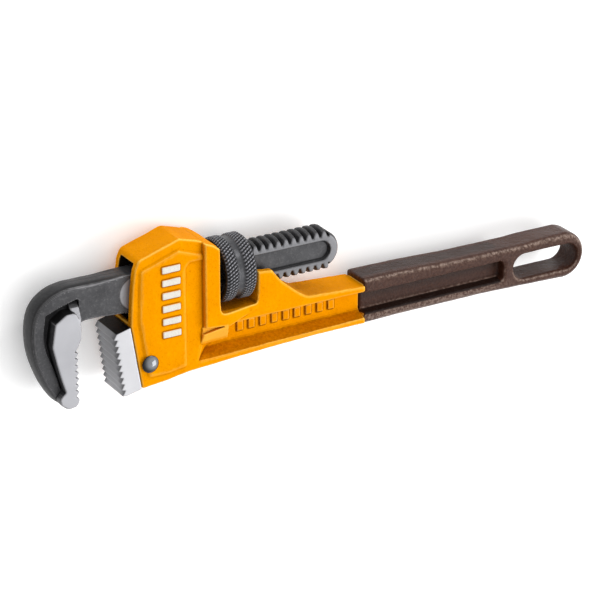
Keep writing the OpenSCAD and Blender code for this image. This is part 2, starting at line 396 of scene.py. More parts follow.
def orange_paint():
    """Thick paint over sand-cast iron: rough and pitted, lightened on its edges by wear and painted
    highlight, with painted shade in its corners, on slopes and under overhangs.
    """
    s = Shader("orange_paint", Specular_IOR_Level=0.0, Metallic=0.12)
    broad, fine = s.noise(14, 3), s.noise(1.5, 4, 0.65)
    pits = s.noise(0.9, 3, 0.6)
    # painted shadow on slopes turned from the light and under overhangs, broken up by noise
    painted_shadow = s.maths("MULTIPLY", s.mark("painted_shadow"), s.span(fine, 0.4, 0.6, 0.6, 1))
    colour = s.blend(s.span(broad, 0.3, 0.7), srgb("D98600"), srgb("E49100"))
    colour = s.blend(s.maths("MULTIPLY", s.span(pits, 0.56, 0.72), 0.3), colour, srgb("9A5200"))
    # painted shade in concave corners
    colour = s.blend(s.maths("MULTIPLY", s.mark("painted_shade"), 0.7), colour, srgb("7A3E00"))
    # edges lightened by wear and painted highlight
    colour = s.blend(s.maths("MULTIPLY", s.mark("wear_and_highlight"), 0.75), colour, srgb("FFD060"))
    colour = s.blend(s.mark("ink"), colour, srgb("CFCBC2"))
    # near black inside the shank's channel
    colour = s.blend(s.mark("bare"), colour, srgb("1C1612"))
    colour = s.blend(painted_shadow, colour, srgb("7A3E00"))
    normal = s.bump(pits, 0.12, 0.8, s.bump(fine, 0.22, 0.9))
    return s.finish(Base_Color=colour, Roughness=s.span(fine, 0.3, 0.75, 0.3, 0.46), Normal=normal)


def dipped_grip():
    """A brown dipped coating with a coarse grain, speckled with painted highlights along its rounded edges
    and with painted shade in its corners.
    """
    s = Shader("dipped_grip", Specular_IOR_Level=0.15)
    broad, fine, grain = s.noise(18, 3), s.noise(3.0, 3), s.noise(1.3, 4, 0.7)
    colour = s.blend(s.span(broad, 0.3, 0.7), srgb("34190F"), srgb("3D2217"))
    colour = s.blend(s.span(grain, 0.42, 0.75), colour, srgb("4E3226"))
    # painted highlight speckled along the rounded edges
    speckle = s.maths("MULTIPLY", s.mark("wear_and_highlight"), s.span(grain, 0.44, 0.6, 0.15, 0.85))
    colour = s.blend(speckle, colour, srgb("9C887C"))
    # painted shade in the corners and recess
    colour = s.blend(s.maths("MULTIPLY", s.mark("painted_shade"), 0.75), colour, srgb("160A06"))
    normal = s.bump(grain, 0.32, 1.0, s.bump(fine, 0.3, 0.7))
    return s.finish(Base_Color=colour, Roughness=s.span(grain, 0.3, 0.75, 0.28, 0.44), Normal=normal)


def steel(name, dark, light, worn_lit_edge_colour, bare, bright, roughness, metal_share):
    """Blackened forged steel, with the marked faces ground bare, the edges lightened by wear and painted
    highlight, and painted shade where marked.
    """
    s = Shader(name, Metallic=metal_share, Specular_IOR_Level=0.3)
    broad, scale, pits = s.noise(9, 4), s.noise(1.6, 4, 0.6), s.noise(0.5, 3)
    lines = s.noise(0.35, 2, 0.5, (0.12, 1.0, 1.0))
    ground = s.mark("ground")
    skin = s.blend(s.span(broad, 0.3, 0.7), srgb(dark), srgb(light))
    skin = s.blend(s.maths("MULTIPLY", s.span(scale, 0.5, 0.8), 0.5), skin, srgb("6B6A6B"))
    # edges lightened by wear and painted highlight
    skin = s.blend(s.maths("MULTIPLY", s.mark("wear_and_highlight"), 0.75), skin, srgb(worn_lit_edge_colour))
    # painted shade where marked
    skin = s.blend(s.maths("MULTIPLY", s.mark("painted_shade"), 0.85), skin, srgb("0A0A0B"))
    metal = s.blend(s.span(s.noise(16, 2), 0.3, 0.7, 0.2, 0.8), srgb(bare), srgb(bright))
    colour = s.blend(ground, skin, metal)
    skin_rough = s.span(scale, 0.3, 0.75, roughness, roughness + 0.15)
    rough = s.blend(ground, skin_rough, s.span(lines, 0.3, 0.7, 0.3, 0.42))
    relief = s.maths("MULTIPLY", scale, s.maths("SUBTRACT", 1.0, ground))
    normal = s.bump(pits, 0.03, 0.5, s.bump(relief, 0.12, 0.8, s.bump(lines, 0.002, 0.3)))
    return s.finish(Base_Color=colour, Roughness=rough, Normal=normal)


def plain_metal(name, colour, other, roughness, size, depth):
    """Clean metal, clouded between two colours, with a faint relief."""
    s = Shader(name, Metallic=1.0)
    lines = s.noise(size, 3, 0.55)
    tint = s.blend(s.span(lines, 0.3, 0.7), srgb(colour), srgb(other))
    # painted shade where marked
    tint = s.blend(s.mark("painted_shade"), tint, srgb("202022"))
    return s.finish(
        Base_Color=tint,
        Roughness=s.span(lines, 0.3, 0.7, roughness, roughness + 0.1),
        Normal=s.bump(lines, depth, 0.6),
    )


PAINT = orange_paint()
GRIP = dipped_grip()
FORGED = steel(
    "forged_steel", dark="363638", light="454547", worn_lit_edge_colour="8A898B", bare="96969A", bright="A6A6AA",
    roughness=0.4, metal_share=0.45,
)  # fmt: skip
NUT = steel(
    "black_nut", dark="1A1B1E", light="242528", worn_lit_edge_colour="A6A6AC", bare="A8A8AC", bright="C0C0C4",
    roughness=0.3, metal_share=0.7,
)  # fmt: skip
GROUND = steel(
    "ground_steel", dark="131314", light="1C1C1D", worn_lit_edge_colour="7C7C80", bare="AAAAAD", bright="B6B6B9",
    roughness=0.36, metal_share=0.6,
)  # fmt: skip
PLATED = plain_metal("plated_pin", "737579", "818387", roughness=0.05, size=3, depth=0.01)
SPRING = plain_metal("spring_steel", "6E6A66", "8A8682", roughness=0.3, size=0.8, depth=0.02)


# ---- Housing and handle ----


def handle_profile(g):
    """Outline of the bare handle: a straight beam that swells into a round end."""
    knee = BORDER_X + 72
    ends = []
    for y, side in ((CORE_TOP, -1), (CORE_BOTTOM, 1)):
        away = np.array([knee - END_CENTRE[0], y - END_CENTRE[1]])
        tangent = math.atan2(away[1], away[0]) + side * math.acos(END_R / np.hypot(*away))
        ends.append(math.degrees(tangent))
    end = arc(END_CENTRE, END_R, ends[1], ends[0], 24)
    foot, top = [(BORDER_X, CORE_BOTTOM), (knee, CORE_BOTTOM)], [(knee, CORE_TOP), (BORDER_X, CORE_TOP)]
    return g.plan([*foot, *end, *top])


def hang_slot(g):
    """The long hole that the wrench is hung up by."""
    return np.hypot(np.maximum(np.abs(g.x - SLOT_CENTRE[0]) - SLOT_HALF, 0), g.y - SLOT_CENTRE[1]) - SLOT_R


def handle_core(g):
    """The bare handle that the coating covers, thinned to a web between its flanges."""
    core = cut(handle_profile(g), g.a - 7, 0.8)
    recess = box(g.x, g.y, 40, 139.5, -35.7, -24.4, 1)
    core = cut(core, -cut(recess, WEB_HALF - COAT - g.a, 0.8), 0.6)
    return cut(core, -(hang_slot(g) - COAT))


HEAD = [
    (*SEAM_FOOT, 0.6), (*SEAM_TOP, 0.6), (-60.6, -6, 20), (-59.8, 4, 20), (-58.6, 12, 6), (-56.5, 16.5, 3),
    (-36.4, 22.8, 2.2), (-28, 20.4, 8), (-21, 17.6, 8), (-17.5, 15, 0.6), (-17.5, -25), (-17.5, -41.5),
    (-27, -42.1, 10), (-34, -42.5, 10), (-42.6, -44, 10),
]  # fmt: skip
PANEL = [
    (-53.6, -41, 2.5), (-58, -12, 20), (-56.9, 12, 2.5), (-37.2, 18.6, 2), (-21, 12.8), (-21, 10),
    (-31.4, 10, 1.5), (-33.2, 8, 1.5), (-33.2, -39.5, 2.5), (-43, -41, 10),
]  # fmt: skip
COLUMN = [
    (-25.3, -23.6, 0.4), (-13.8, -23.6), (3, -19.5, 1), (3, -12), (-17.5, -12), (-17.5, 14.8), (-21, 17.4, 3),
    (-25.3, 19.3, 1),
]  # fmt: skip
FOOT = [(-26.6, -30.6, 0.5), (-25.8, -22, 0.5), (-14, -22), (-12.8, -29.8, 0.5)]
NICK = [(-26.2, -21.6), (-26.2, -25.2), (-14.4, -22.9)]
BEAM = [
    (-34, -42.5), (-34, -24), (-17.5, -12), (3, -12), (3, -1.4, 1.2), (10.6, -2.2, 1.5), (15, -8, 10),
    (24, -15.8, 12), (29, -19.1, 8), (34, -19.4, 8), (BORDER_X, CORE_TOP - 0.2), (BORDER_X, -39.6),
    (35, -39.5, 30), (14, -40.1, 30),
]  # fmt: skip


def beam_pocket(g):
    """The drafted pocket between the flanges, down to the web."""
    deep = (g.a - WEB_HALF) / 7
    roof = (g.y + 24.8 - 1.4 * deep) * 0.98
    floor = (-35 - deep * (4.2 - (g.x + 28.5) / 89.5 * 2.2) - g.y) * 0.9
    at_web = -13 + 0.784 * (g.y + 24.8)
    at_face = -25.5 + 0.19 * (g.y + 23.4)
    front = (at_web + (at_face - at_web) * deep - g.x) * 0.58
    return cut(cut(cut(roof, floor, 1.5), front, 0.6), WEB_HALF - g.a, 1.2)


def web_bars(g):
    """A row of plain raised bars along the web."""
    spacing, half_width = 6, 1.7
    x = g.x + 5 - half_width
    x = np.abs(x - spacing * np.clip(np.round(x / spacing), 0, 8)) - half_width
    return cut(cut(x, np.abs(g.y + 28.5) - 2.5, 0.4), g.a - WEB_HALF - 0.8, 0.35)


def panel_bars(g):
    """A column of plain raised bars on the side panel."""
    spacing, half_height = 6.2, 1.6
    y = g.y + 21
    y = np.abs(y - spacing * np.clip(np.round(y / spacing), 0, 5)) - half_height
    return cut(cut(y, np.abs(g.x + 41.6) - 4.6, 0.5), g.a - PANEL_HALF - 0.7, 0.3)


def casting(g):
    """Housing, beam and bare handle in one piece, with everything that goes through them cut out."""
    head = cut(g.plan(HEAD), g.a - HEAD_HALF, 0.75)
    beam = cut(g.plan(BEAM), g.a - BEAM_HALF, 1.2)
    solid = cut(add(head, beam), -beam_pocket(g), 0.8)
    panel = g.plan(PANEL)
    panel = cut((panel + 1.6 * np.maximum(g.a - HEAD_HALF, 0)) / 1.6, g.a - PANEL_HALF, 0.3)
    solid = add(add(solid, panel, 0.3), panel_bars(g), 0.2)
    # the column beside the nut, thinner towards the handle, and its foot with a nick in it
    height = COLUMN_HALF - (COLUMN_HALF - BEAM_HALF) * smooth_step(g.x, -16, 3)
    solid = add(solid, cut(g.plan(COLUMN), g.a - height, 0.8), 0.6)
    slope = (g.a - COLUMN_HALF + 0.3 + 0.45 * np.maximum(-24.2 - g.y, 0)) / 1.09
    solid = add(solid, cut(g.plan(FOOT), slope, 0.35), 0.2)
    solid = cut(solid, -cut(g.plan(NICK), 10.2 - g.a, 0.2), 0.2)
    solid = add(solid, web_bars(g), 0.25)
    solid = add(solid, handle_core(g))
    # the shank's channel, the nut's window, and the seats of the heel jaw, its pin and the spring
    channel = add(
        box(g.x, g.y, -75, -28, -13.5, 14),
        add(box(g.x, g.y, -30, 4, -11, 11), box(g.x, g.y, 2, 64, -11, 29)),
    )
    solid = cut(solid, -cut(channel, g.a - CHANNEL_HALF, 0.7), 0.5)
    window = g.plan([(-17.5, 45), (-17.5, -16.8, 3), (3, -16.8, 2.5), (3, 45)])
    solid = cut(solid, -window, 0.7)
    tongue = cut(box(g.x, g.y, -75, -45, -43, -23, 0.8), g.a - 4.15)
    solid = cut(solid, -tongue, 0.3)
    solid = cut(solid, -(np.hypot(g.x - PIN_AT[0], g.y - PIN_AT[1]) - PIN_R - 0.05), 0.2)
    pocket = cut(np.hypot(g.x + 40, g.z) - 4.2, np.abs(g.y + 18.5) - 6.5)
    return cut(solid, -pocket, 0.3) + 0.045 * ripple(g, 1.7, 1) + 0.08 * ripple(g, 4.7, 2)


def casting_marks(p, n, marks):
    """Ink on the panel's bars, near black in the shank's channel, painted shade round the web's bars, on the
    lower slope and under the nut, and painted highlights on edges.
    """
    x, y, across = p[:, 0], p[:, 1], np.abs(p[:, 2])
    ink = smooth_step(across, PANEL_HALF + 0.45, PANEL_HALF + 0.6) * (x < -36)

    mouth = (np.abs(y) < 14.3) & (x < -17) & (x > -61)
    # the shank's channel is coloured near black inside
    bare = smooth_step(SHANK_HALF + 0.9 - across, 0, 0.35) * smooth_step(x, -60.2, -58.8) * mouth

    # painted shade round the web's bars, on the lower flange's slope and under the nut
    off_web = smooth_step(across, WEB_HALF + 0.05, WEB_HALF + 0.2)
    low = smooth_step(WEB_HALF + 0.75 - across, 0, 0.1) * off_web
    beside = (y > -31.8) & (y < -25.2) & (x > -6.5) & (x < 50)
    bars = low * beside * smooth_step(-n[:, 0] + np.abs(n[:, 1]), 0.1, 0.5)
    slope = smooth_step(n[:, 1], 0.25, 0.45) * (y < -31) * (x > -30)
    slope *= (across < BEAM_HALF - 0.5) & (across > WEB_HALF + 0.3)
    under = (y < -9) * (x > -17.6) * (x < 3.1) * (across < 9) * smooth_step(n[:, 1], 0.3, 0.9)
    painted_shadow = np.maximum(bars, 0.55 * np.maximum(slope, under))

    # painted highlight: edges that face up, towards the light, get the most on top of their wear, and the
    # foot's faces get it all over
    foot = smooth_step(-inside_outline(rounded(FOOT), x, y), 0, 0.3) * smooth_step(across, 9.6, 10.4)
    highlight_weight = 0.45 + 0.55 * smooth_step(n[:, 1], 0.15, 0.6)
    wear_and_highlight = np.maximum(highlight_weight * marks["wear_and_highlight"], 0.4 * foot * smooth_step(np.abs(n[:, 2]), 0.6, 0.9))
    return {"ink": ink, "bare": bare, "painted_shadow": painted_shadow, "wear_and_highlight": wear_and_highlight}


GRIP_OUTLINE = [
    (59, -40.5), (80, -40.1, 30), (125, -40, 30), (150, -40.7, 30), *arc((173.2, -30.2), 11.8, -100, 82, 24),
    (160, -18.7, 20), (145, -19.3, 30), (112, -19.1, 40), (84, -18.1, 40), (59, -17.9),
]  # fmt: skip


def coating(g):
    """The thick coating round the bare handle, with its own softer edges."""
    coat = cut(g.plan(GRIP_OUTLINE), g.a - 8.5, 3 + 0.8 * smooth_step(g.x, 150, 172))
    coat = cut(coat, BORDER_X - g.x, 0.7)
    floor = -34 - 0.3 * np.maximum(g.a - WEB_HALF, 0) - g.y
    recess = cut(cut(g.y + 25.2, floor, 1.2), g.x - 137.8, 2)
    coat = cut(coat, -cut(recess, WEB_HALF - g.a, 1.5), 1.7)
    coat = cut(coat, -hang_slot(g), 2.4)
    coat = coat + 0.03 * ripple(g, 2.3, 3) + 0.1 * ripple(g, 6.3, 4)
    return cut(coat, -handle_core(g))


def coat_marks(p, n, marks):
    """Painted highlights along the coating's rounded edges and in the fillet at the foot of its web, lighter
    along its lower rim, and painted shade in its recess.
    """
    x, y, across = p[:, 0], p[:, 1], np.abs(p[:, 2])
    beside = (x > 60.5) * (x < 136.5)
    # painted highlight in the fillet at the foot of the web
    fillet = beside * np.exp(-(((y + 34.1) / 0.45) ** 2)) * (across < WEB_HALF + 1.5)
    # painted shade on the lower slope, in the crease under the upper flange and over the upper web
    slope = beside * smooth_step(n[:, 1], 0.5, 0.8) * (y < -34.2) * (y > -36.5)
    crease = beside * np.exp(-(((y + 25.4) / 0.5) ** 2)) * (across < 6)
    web = 0.8 * beside * smooth_step(y, -32, -27.4) * (across < WEB_HALF + 1.2)
    dark = np.maximum(1.2 * slope, 0.9 * np.maximum(crease, web))
    painted_shade = np.maximum(marks["painted_shade"] * (1 - fillet), dark)

    # painted highlight on rounded edges, most where they lean towards the light, and a lighter lower rim
    lightened = np.exp(-(((np.abs(n[:, 2]) - 0.74) / 0.16) ** 2)) * smooth_step(across, 4.5, 7)
    facing_light = 0.25 + 0.75 * smooth_step(n[:, 1], -0.1, 0.35)
    lip = smooth_step(-y, 34.6, 35.6) * (across > 6.5) * smooth_step(-x, -150, -120)
    lip = lip * smooth_step(np.abs(n[:, 2]), 0.3, 0.7)
    wear_and_highlight = np.maximum(np.maximum(lightened * facing_light, 0.6 * fillet), 0.55 * lip)
    return {"wear_and_highlight": wear_and_highlight * (1 - slope), "painted_shade": painted_shade}


grid = Grid(
    np.concatenate([run(-63, 62, 0.42), run(63.2, 187, 1.3)]), run(-47.5, 24.5, 0.42), run(-13.3, 13.3, 0.42)
)
solid_piece(
    "painted_casting", casting(grid), grid, "wrench_body", "handle_casting", PAINT,
    casting_marks,
)  # fmt: skip
grid = Grid(run(59, 186.5, 0.5), run(-43.5, -16, 0.5), run(-9.5, 9.5, 0.5))
solid_piece(
    "dipped_coating", coating(grid), grid, "wrench_body", "grip_coating", GRIP, coat_marks
)  # fmt: skip


# ---- Hook jaw ----

TIP = arc((-91.3, -43.2), 3.2, 230, 340)
NOSE = [(-95.9, -43.9, 1.5), (-93, -46.3, 3), (-88.7, -46.1, 2.6), (-87.2, -42.8, 2)]
BLANK = [
    (-60, 8.9), (-88, 9.4, 20), (-94.5, 8.3, 20), (-98.6, 6.5, 20), (-102.3, 3.7, 20), (-105.1, 0, 20),
    (-106.8, -5, 20), (-107.4, -11.5, 30), (-107.1, -18, 30), (-105.9, -24.3, 30), (-103.9, -30.4, 30),
    (-101.8, -35.6, 30), (-99, -40.4, 20), (-96.3, -44.2, 6), *TIP, (-89.5, -42), (-89.5, -17.5),
    (-86.2, -15.2, 1), *arc((-81, -12.9), 4.3, 150, 90), (-60, -8.6),
]  # fmt: skip
PAD = [
    *NOSE, *teeth((HOOK_TOOTH_X + 0.6, -41.4), (HOOK_TOOTH_X + 0.6, -16.9), HOOK_TOOTH_DEPTH, 8),
    (-85.7, -14.1, 0.6), (-85.5, -9.4, 3), (-85.9, -5.6, 2.5), (-87.8, -1.7, 2.2), (-92, -1.5, 3),
    (-97.4, -5, 1.5), (-98.3, -10, 4), (-99.2, -15.5, 2), (-97.2, -24.5, 20), (-95.2, -32.4, 8),
    (-93.4, -38.5, 1.2), (-95.3, -39.9, 1.2), (-96.4, -41.4, 1.2),
]  # fmt: skip
POCKET = [
    (-84, 3.6, 1.5), (-93.4, 0.9, 6), (-100.4, -1.6, 1), (-101.6, -10, 20), (-101, -18, 20), (-98.4, -25, 20),
    (-95.8, -33, 20), (-94.6, -38), (-92, -38), (-92, -6), (-84, -6),
]  # fmt: skip


def thread(x, y, z, gap=0.0):
    """A right-hand helical ridge round the shank's axis, fattened by gap on every side."""
    radius, turn = np.hypot(y, z), np.arctan2(z, y) / (2 * math.pi)
    along = (x - FIRST_CREST) / PITCH - turn
    along = (along - np.round(along)) * PITCH
    ridge = [(-8, 0), (-8, ROOT_R)]
    for middle in (-PITCH, 0, PITCH):
        ridge += [
            (middle - 1.5, ROOT_R, 0.5), (middle - 0.6, CREST_R, 0.25),
            (middle + 0.6, CREST_R, 0.25), (middle + 1.5, ROOT_R, 0.5),
        ]  # fmt: skip
    return inside_outline(rounded(ridge + [(8, ROOT_R), (8, 0)]), along, radius) - gap


def hook(g):
    """The hook's curved blank, the flat-sided threaded shank behind it, and the wider toothed pad."""
    blank = g.plan(BLANK)
    # the forging's edge bulges towards the parting line round its middle
    bulge = 1.1 * (g.a / SHANK_HALF) ** 2 * smooth_step(-g.x, 62, 76)
    blank = cut(blank + bulge, g.a - SHANK_HALF, 1.0)
    blank = blank + 0.04 * ripple(g, 2.1, 5) + 0.07 * ripple(g, 6.1, 6)
    core = box(g.x, g.y, -62, THREAD_END + 1, -CORE_HALF, CORE_HALF)
    neck = box(g.x, g.y, -62, THREAD_START, -NECK_HALF, NECK_HALF)
    end = np.hypot(g.x - (SHANK_END - NECK_HALF), g.y) - NECK_HALF
    end = cut(cut(end, g.a - SHANK_HALF, 1.7), THREAD_END + 0.8 - g.x, 0.3)
    shank = add(cut(add(core, neck), g.a - SHANK_HALF, 0.35), end, 0.3)
    screw = cut(thread(g.x, g.y, g.z), cut(THREAD_START - g.x, g.x - THREAD_END), 0.2)
    shank = add(shank, cut(screw, g.a - SHANK_HALF, 0.3), 0.25)
    # a long round-ended recess in each side of the shank
    last, half = 38.4, 5.2
    recess = add(box(g.x, g.y, -30, last, -half, half), np.hypot(g.x - last, g.y) - half)
    recess = recess + 0.35 * np.maximum(SHANK_HALF - g.a, 0)
    shank = cut(shank, -cut(recess, SHANK_HALF - 2 - g.a, 0.3), 0.2)
    solid = add(blank, shank, 0.1)
    solid = cut(solid, -cut(g.plan(POCKET), SHANK_HALF - 2.6 - g.a, 0.6), 0.4)
    # the pad, and the sloping shoulder that joins it to the neck
    pad = cut(g.plan(PAD), g.a - JAW_HALF, 0.3)
    ramp = (g.a - JAW_HALF + 0.2 + 0.95 * np.maximum(g.y + 4.8, 0)) / 1.38
    shoulder = g.plan([(-88.6, -7), (-88.6, 2), (-84.5, 2.8), (-84.5, -1.5), (-85.6, -7)], 0.4)
    pad = add(pad, cut(shoulder, ramp, 0.3), 0.2)
    return add(solid, pad, 0.4)


def hook_marks(p, n, marks):
    """Bare metal on the pad's ground sides, its teeth and the shank's machined sides; the rest is black, with
    painted shade in its pocket, thread and shank end, along the hook's outer edge and over its end.
    """
    x, y, across, side = p[:, 0], p[:, 1], np.abs(p[:, 2]), np.abs(n[:, 2])
    radius = np.hypot(y, p[:, 2])
    screw = (x > THREAD_START) * (x < THREAD_END + 0.6) * smooth_step(radius, 6.6, 7.4)
    groove = screw * smooth_step(-radius, -9.4, -8.6)
    end = (x > THREAD_END + 0.6) * (across < SHANK_HALF - 0.1)

    # painted shade in a band on each side of the hook's parting line along its outer edge, and over the whole
    # hook towards its end
    outer = (x < -62) * smooth_step(-side, -0.75, -0.5) * smooth_step(-x, 58, 66)
    band = np.exp(-(((across - 4.2) / 1.6) ** 2)) + 0.9 * np.exp(-((across / 0.35) ** 2))
    hook_shade = (0.62 + 0.1 * outer) * smooth_step(-x, 82, 97) * (across < SHANK_HALF + 0.2)

    in_pocket = smooth_step(-inside_outline(rounded(POCKET), x, y), 0, 0.3)
    sunk = in_pocket * smooth_step(SHANK_HALF + 0.1 - across, 0, 0.5)
    walls = in_pocket * smooth_step(n[:, 1], 0.45, 0.7) * (side < 0.45)
    walls *= (x < -87.5) & (y > -8) & (across < JAW_HALF - 0.25)

    # painted shade from curvature, grooves, pocket, walls, outer band, thread, shank end and hook end
    painted_shade = marks["painted_shade"]
    band *= outer * (across < SHANK_HALF)
    for shade in (groove, 0.7 * sunk, walls, band, 0.4 * screw, 0.6 * end, hook_shade):
        painted_shade = np.maximum(painted_shade, shade)

    pad = smooth_step(across, JAW_HALF - 0.35, JAW_HALF - 0.12) * smooth_step(side, 0.5, 0.9)
    ramp = (x > -88.4) * (x < -84.3) * (y > -5) * (y < 2.8) * (n[:, 1] > 0.3)
    ramp = 0.7 * ramp * (side > 0.5) * (across > SHANK_HALF + 0.3)
    tips = 0.55 * smooth_step(-x, -HOOK_TOOTH_X + 1.9, -HOOK_TOOTH_X + 1.2)
    tips *= (y < -16) & (y > -43) & (x > HOOK_TOOTH_X - 3)
    face = smooth_step(across, SHANK_HALF - 0.14, SHANK_HALF - 0.04) * smooth_step(side, 0.5, 0.9)
    rear = smooth_step(x, THREAD_START - 1, THREAD_START)
    milled = 0.6 * (1 - rear) * smooth_step(8 - np.hypot(np.minimum(x + 56.5, 0), y), 0, 0.4)
    face *= np.maximum(milled, 0.4 * rear)
    ground = np.maximum(np.maximum(pad, ramp), np.maximum(tips, face))
    return {"ground": ground, "painted_shade": painted_shade, "wear_and_highlight": marks["wear_and_highlight"] * (1 - 0.7 * np.maximum(screw, end))}


grid = Grid(
    np.concatenate([run(-109, -60, 0.33), run(-59.5, -42, 0.7), run(-41.5, 49, 0.33)]),
    run(-48.5, 11.5, 0.33),
    run(-10.2, 10.2, 0.33),
)
solid_piece(
    "forged_hook", hook(grid), grid, "hook", "hook_jaw", FORGED, hook_marks, keen=(0.2, 1.1)
)  # fmt: skip


# ---- Heel jaw ----


def heel(g):
    """A block with teeth along its front, and the tongue that the pin goes through."""
    bite = np.array([0.5, 0])
    row = teeth(HEEL_FOOT + bite, HEEL_TOP + bite, HEEL_TOOTH_DEPTH, 10)
    seam = 0.4
    block = [
        (SEAM_TOP[0] - seam, SEAM_TOP[1] - 0.3), (SEAM_FOOT[0] - seam, SEAM_FOOT[1]),
        (HEEL_FOOT[0] + 0.9, HEEL_FOOT[1] - 0.5, 0.5),
    ]  # fmt: skip
    block = cut(g.plan(block + row), g.a - JAW_HALF, 0.3)
    tongue = cut(box(g.x, g.y, -61, -46, -42, -24, 0.5), g.a - 4, 0.4)
    tongue = cut(tongue, -(np.hypot(g.x - PIN_AT[0], g.y - PIN_AT[1]) - PIN_R - 0.1))
    return add(block, tongue, 0)


def heel_marks(p, n, marks):
    """Ground sides, teeth brighter towards the middle, and painted shade over the top."""
    side = smooth_step(np.abs(n[:, 2]), 0.5, 0.9) * (np.abs(p[:, 2]) > JAW_HALF - 0.4)
    # painted shade over the top faces
    top = smooth_step(n[:, 1], 0.6, 0.8) * (p[:, 1] > -16.8)
    lightened = 0.42 + 0.42 * smooth_step(JAW_HALF - np.abs(p[:, 2]), 0, 4.5)
    ground = np.maximum(side, lightened * smooth_step(0.75 - n[:, 1], 0, 0.2) * (p[:, 1] < -15.6))
    return {"ground": ground, "painted_shade": np.maximum(marks["painted_shade"], top)}


grid = Grid(run(-72.5, -44.5, 0.3), run(-48.5, -13, 0.3), run(-10.4, 10.4, 0.3))
solid_piece("ground_heel", heel(grid), grid, "wrench_body", "heel_jaw", GROUND, heel_marks)


# ---- Nut ----

NUT_R, NUT_L, BAND = 15.1, 15.2, 5.3
GROOVE_DEPTH = 1.2  # of the smooth groove between the two knurled bands
KNURLS, KNURL_DEPTH, KNURL_ANGLE = 56, 0.6, math.radians(32)
THREAD_GAP = 0.28


def ring_mesh(x, r):
    """Quads and points of a tube whose closed section runs along the first axis."""
    n, m = r.shape
    turn = np.arange(m) / m * 2 * math.pi
    points = np.stack([np.broadcast_to(x[:, None], r.shape), r * np.cos(turn), r * np.sin(turn)], 2)
    i, j = np.meshgrid(np.arange(n), np.arange(m), indexing="ij")
    i2, j2 = (i + 1) % n, (j + 1) % m
    quads = np.stack([i * m + j, i * m + j2, i2 * m + j2, i2 * m + j], 2)
    return points.reshape(-1, 3), quads.reshape(-1, 4)


def knurled_outside(turn):
    """Places along the nut from its rear face to its front, the radii there, and their marks."""
    band = np.linspace(0.5, BAND, 30)
    groove = np.linspace(BAND + 0.25, NUT_L - BAND - 0.25, 9)
    x = -np.array([0, 0.06, *band, *groove, *(NUT_L - BAND - 0.5 + band), NUT_L - 0.06, NUT_L])
    middle = np.abs(x + NUT_L / 2)
    dip = smooth_step(middle, NUT_L / 2 - BAND, NUT_L / 2 - BAND - 1.0)
    plain_r = NUT_R - np.maximum(middle - (NUT_L / 2 - 1.0), 0) - GROOVE_DEPTH * dip

    around = turn[None, :] * KNURLS / (2 * math.pi)
    lean = x[:, None] * math.tan(KNURL_ANGLE) * KNURLS / (2 * math.pi * NUT_R)
    first, second = (1 - np.abs(2 * np.mod(v, 1) - 1) for v in (around + lean, around - lean))
    # one set of grooves is cut deeper than the other
    peak = np.minimum(1.25 * np.minimum(first, 0.45 + 0.55 * second), 1)
    on_band = ((1 - dip) * smooth_step(NUT_L / 2 - middle, -0.01, 0.55))[:, None]
    r = plain_r[:, None] - KNURL_DEPTH * (1 - peak) * on_band
    marks = {
        # knurl crests lightened by wear and painted highlight, grooves darkened as painted shade
        "wear_and_highlight": peak**2.5 * on_band,
        "painted_shade": (1 - peak) ** 0.6 * on_band,
        "ground": 0.1 * dip[:, None] * np.ones_like(r),
    }
    return x, r, marks


def threaded_bore(turn):
    """Places along the bore from its front face to its rear, and the radii there."""
    x = np.linspace(-NUT_L, 0, 62)
    radii, phase = np.linspace(7.6, 11.6, 81), np.linspace(-PITCH / 2, PITCH / 2, 129)
    grid_x, grid_r = np.meshgrid(phase, radii, indexing="ij")
    inside = thread(grid_x + FIRST_CREST, grid_r, np.zeros_like(grid_r), THREAD_GAP)
    reach = np.array([np.interp(0, row, radii) for row in inside])
    along = (x[:, None] - FIRST_CREST) / PITCH - turn[None, :] / (2 * math.pi)
    along = (along - np.round(along)) * PITCH
    mouth = np.maximum(0.9 - np.minimum(-x, x + NUT_L), 0)[:, None]
    return x, np.maximum(np.interp(along, phase, reach), ROOT_R + THREAD_GAP + 2.4 * mouth)


def knurled_nut():
    """A closed ring: its knurled outside from rear to front, then back through its threaded bore."""
    steps = KNURLS * 8
    turn = np.arange(steps) / steps * 2 * math.pi
    turn = np.where(turn > math.pi, turn - 2 * math.pi, turn)
    outer_x, outer_r, marks = knurled_outside(turn)
    bore_x, bore_r = threaded_bore(turn)
    points, quads = ring_mesh(np.concatenate([outer_x, bore_x]), np.concatenate([outer_r, bore_r]))
    # the bore gets painted shade
    for key, on_bore in (("wear_and_highlight", 0.0), ("painted_shade", 0.3), ("ground", 0.0)):
        marks[key] = np.concatenate([marks[key], np.full_like(bore_r, on_bore)]).ravel()
    return place("knurled_nut", points, quads[:, ::-1], None, marks, "nut", "adjusting_nut", NUT)


knurled_nut()


# ---- Pin ----


